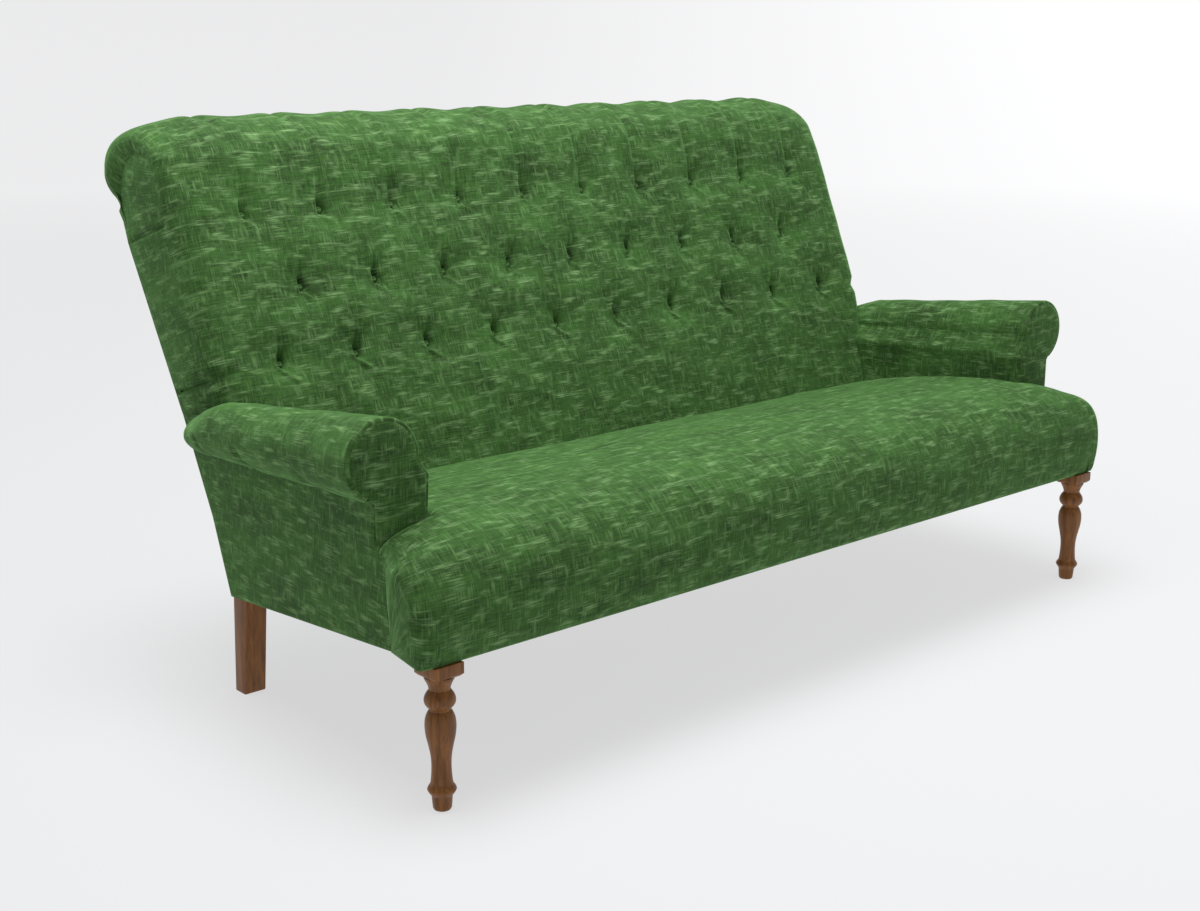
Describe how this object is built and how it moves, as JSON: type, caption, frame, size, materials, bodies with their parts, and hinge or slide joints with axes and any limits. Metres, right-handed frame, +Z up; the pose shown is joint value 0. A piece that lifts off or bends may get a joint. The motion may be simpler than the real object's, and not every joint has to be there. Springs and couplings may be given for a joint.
{
  "type": "high-back buttoned sofa",
  "caption": "Upholstered high-back sofa with a buttoned raked back that rolls over at the top, low scroll arms, fixed bullnose seat and turned wooden front legs",
  "frame": {"origin": "on the floor under the middle of the sofa", "axes": "+X to the sitter's left as seen from the front (along the sofa's length), +Y to the rear, +Z up; the seat faces -Y"},
  "size_m": [1.8658, 1.026, 1.01],
  "materials": {
    "velvet": "slubbed cut velvet",
    "stained_wood": "satin stain",
    "frame_timber": "unfinished",
    "jute_webbing": "woven",
    "dust_cloth": "matt",
    "spring_steel": "drawn wire"
  },
  "bodies": {
    "root": {"front_leg_left": "stained_wood", "rear_leg_left": "stained_wood", "front_leg_right": "stained_wood", "rear_leg_right": "stained_wood", "front_seat_rail": "frame_timber", "rear_seat_rail": "frame_timber", "side_seat_rail_left": "frame_timber", "side_seat_rail_right": "frame_timber", "middle_seat_rail": "frame_timber", "front_corner_block_left": "frame_timber", "rear_corner_block_left": "frame_timber", "front_corner_block_right": "frame_timber", "rear_corner_block_right": "frame_timber", "seat_spring_1": "spring_steel", "seat_spring_2": "spring_steel", "seat_spring_3": "spring_steel", "seat_spring_4": "spring_steel", "seat_spring_5": "spring_steel", "seat_spring_6": "spring_steel", "seat_spring_7": "spring_steel", "seat_spring_8": "spring_steel", "front_leg_bolt_left": "spring_steel", "rear_leg_bolt_left": "spring_steel", "front_leg_bolt_right": "spring_steel", "rear_leg_bolt_right": "spring_steel", "back_post_left": "frame_timber", "back_post_right": "frame_timber", "back_top_rail": "frame_timber", "back_lower_rail": "frame_timber", "back_stud_left": "frame_timber", "back_stud_right": "frame_timber", "outside_back_panel": "velvet", "back_webbing_1": "jute_webbing", "back_webbing_2": "jute_webbing", "back_webbing_3": "jute_webbing", "back_webbing_4": "jute_webbing", "arm_front_board_left": "frame_timber", "arm_top_rail_left": "frame_timber", "arm_tacking_rail_left": "frame_timber", "arm_front_board_right": "frame_timber", "arm_top_rail_right": "frame_timber", "arm_tacking_rail_right": "frame_timber", "arm_pad_left": "velvet", "arm_pad_right": "velvet", "arm_facing_left": "velvet", "arm_facing_right": "velvet", "outside_arm_panel_left": "velvet", "back_side_border_left": "velvet", "outside_arm_panel_right": "velvet", "back_side_border_right": "velvet", "seat_pad": "velvet", "back_pad": "velvet", "dust_cloth": "dust_cloth"}
  },
  "joints": []
}
